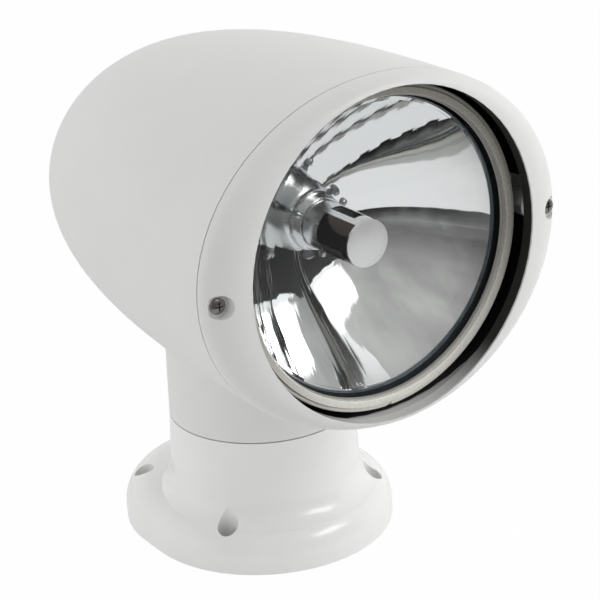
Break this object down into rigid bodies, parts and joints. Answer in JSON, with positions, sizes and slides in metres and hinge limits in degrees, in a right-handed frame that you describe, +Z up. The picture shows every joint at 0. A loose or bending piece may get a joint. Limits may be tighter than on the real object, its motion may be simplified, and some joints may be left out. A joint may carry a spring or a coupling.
{
  "type": "marine searchlight",
  "caption": "Deck-mounted searchlight with an oval moulded head that pans on a flared base and a round lamp that tilts inside the bezel.",
  "frame": {"origin": "on the deck, under the turning axis of the head", "axes": "+Z up along the turning axis, the lamp faces -Y at rest"},
  "size_m": [0.2072, 0.2374, 0.275],
  "materials": {
    "white_head": "satin moulded plastic",
    "white_base": "glossy moulded plastic",
    "ring_plastic": "warm off-white moulded plastic",
    "black_rubber": "matt rubber",
    "stainless": "polished stainless steel",
    "steel_plate": "zinc plated steel",
    "motor_can": "drawn steel can",
    "gear_plastic": "natural acetal",
    "dark_plastic": "dark moulded nylon",
    "cover_plastic": "grey moulded plastic",
    "bronze": "sintered bronze",
    "alloy": "turned and cast alloy",
    "glass": "clear pressed glass",
    "mirror": "vapour coated mirror",
    "board": "green solder mask"
  },
  "bodies": {
    "base": {"deck_gasket": "black_rubber", "deck_base": "white_base", "base_cover": "cover_plastic", "cover_screws": "stainless", "cable_gland": "dark_plastic", "gland_nut": "dark_plastic", "pan_bush": "bronze", "pan_seal": "black_rubber", "pan_motor": "motor_can", "pan_motor_screws": "stainless", "thrust_washer": "gear_plastic"},
    "pan_drive": {"pan_pinion": "gear_plastic"},
    "head": {"rear_housing": "white_head", "front_bezel": "white_head", "bezel_gasket": "black_rubber", "bezel_screws": "stainless", "turntable": "alloy", "turntable_screws": "stainless", "pan_spindle": "alloy", "pan_gear": "gear_plastic", "spindle_clip": "steel_plate", "pivot_brackets": "ring_plastic", "bracket_screws": "stainless", "tilt_bracket": "steel_plate", "tilt_bracket_screws": "stainless", "tilt_motor": "motor_can", "tilt_motor_screws": "stainless", "control_board": "board", "board_screws": "stainless"},
    "tilt_drive": {"tilt_pinion": "gear_plastic"},
    "lamp": {"lamp_cradle": "dark_plastic", "trunnion_pins": "stainless", "tilt_sector": "gear_plastic", "sector_screws": "stainless", "retaining_ring": "ring_plastic", "ring_screws": "stainless", "lamp_seal": "black_rubber", "lamp_lens": "glass", "reflector": "mirror", "bulb_holder": "stainless", "holder_rivets": "stainless", "bulb": "glass", "bulb_base": "steel_plate", "bulb_shield": "mirror", "bulb_clip": "stainless"}
  },
  "joints": [
    {"name": "pan", "type": "hinge", "parent": "base", "child": "head", "pos_m": [0, 0, 0.067], "axis": [0, 0, 1], "range_deg": [-185, 185]},
    {"name": "pan_pinion_spin", "type": "hinge", "parent": "base", "child": "pan_drive", "pos_m": [0, 0.032, 0.074], "axis": [0, 0, 1], "range_deg": [-560, 560]},
    {"name": "tilt", "type": "hinge", "parent": "head", "child": "lamp", "pos_m": [0, -0.098, 0.188], "axis": [1, 0, 0], "range_deg": [-15, 15]},
    {"name": "tilt_pinion_spin", "type": "hinge", "parent": "head", "child": "tilt_drive", "pos_m": [0.006, -0.05367, 0.13126], "axis": [1, 0, 0], "range_deg": [-166, 166]}
  ],
  "couplings": [
    {"joint": "pan_pinion_spin", "follows": "pan", "ratio": -3},
    {"joint": "tilt_pinion_spin", "follows": "tilt", "ratio": -11}
  ]
}
